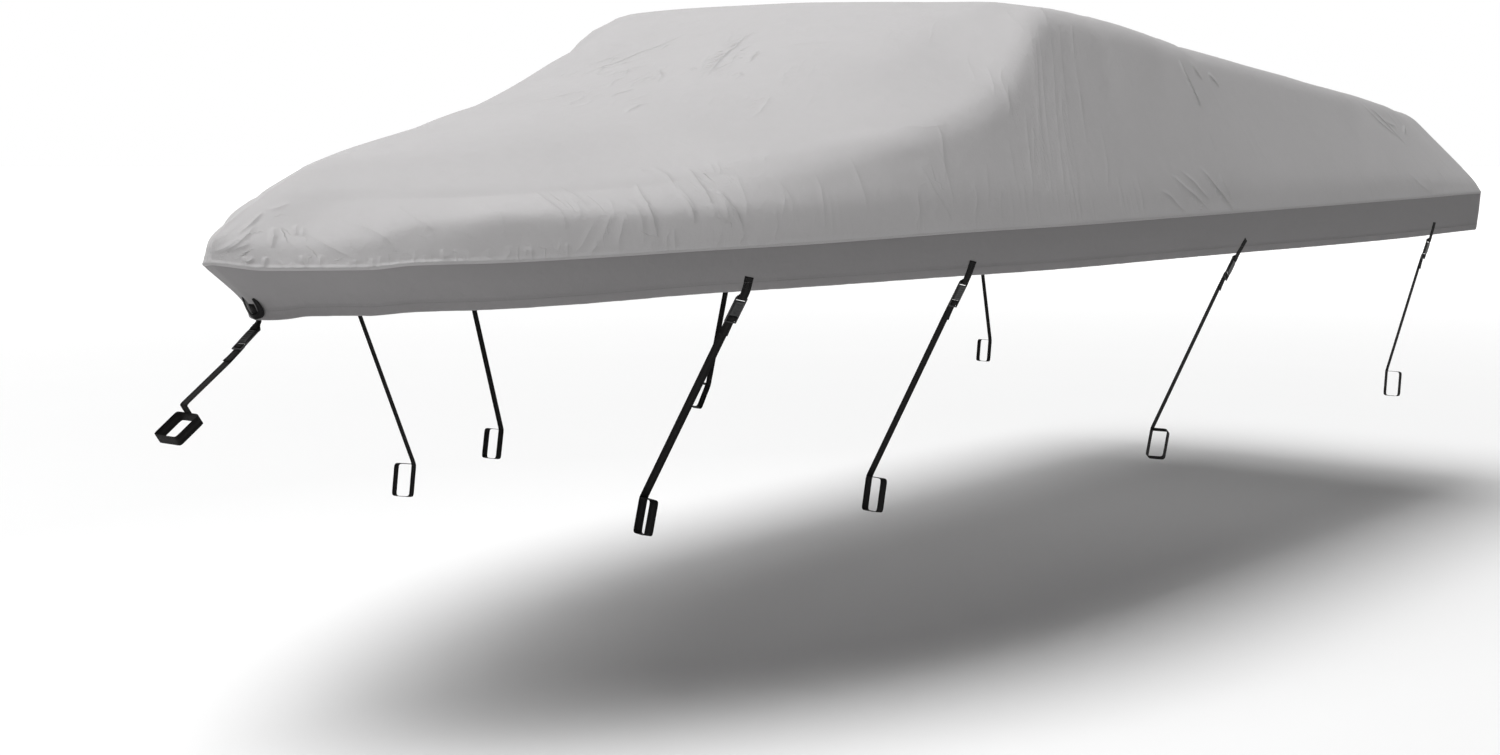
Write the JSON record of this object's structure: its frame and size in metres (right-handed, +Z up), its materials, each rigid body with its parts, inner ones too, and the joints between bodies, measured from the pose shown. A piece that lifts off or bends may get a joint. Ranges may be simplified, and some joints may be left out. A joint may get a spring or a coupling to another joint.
{
  "type": "fitted boat cover",
  "caption": "Taut grey cloth cover for a small motor boat, with a darker skirt and black webbing tie-downs.",
  "frame": {"origin": "inner face of the top panel at the middle of the windscreen crest, where the cover rests on the boat", "axes": "+X aft along the boat, +Y to starboard, +Z up"},
  "size_m": [5.4212, 2, 1.3365],
  "materials": {
    "top_cloth": "coated weave, matt",
    "skirt_cloth": "coated weave, matt",
    "webbing": "ribbed black webbing",
    "buckle_plastic": "satin moulded"
  },
  "bodies": {
    "root": {"top_panel": "top_cloth", "skirt_band": "skirt_cloth", "tie_tab_port_1": "webbing", "tie_tab_port_2": "webbing", "tie_tab_port_3": "webbing", "tie_tab_port_4": "webbing", "tie_tab_starboard_1": "webbing", "tie_tab_starboard_2": "webbing", "tie_tab_starboard_3": "webbing", "tie_tab_starboard_4": "webbing", "buckle_port_1": "buckle_plastic", "buckle_port_2": "buckle_plastic", "buckle_port_3": "buckle_plastic", "buckle_port_4": "buckle_plastic", "buckle_starboard_1": "buckle_plastic", "buckle_starboard_2": "buckle_plastic", "buckle_starboard_3": "buckle_plastic", "buckle_starboard_4": "buckle_plastic", "tie_strap_port_1": "webbing", "tie_strap_port_2": "webbing", "tie_strap_port_3": "webbing", "tie_strap_port_4": "webbing", "tie_strap_starboard_1": "webbing", "tie_strap_starboard_2": "webbing", "tie_strap_starboard_3": "webbing", "tie_strap_starboard_4": "webbing", "bow_patch": "webbing", "bow_tab": "webbing", "bow_buckle": "buckle_plastic", "bow_strap": "webbing"}
  },
  "joints": []
}
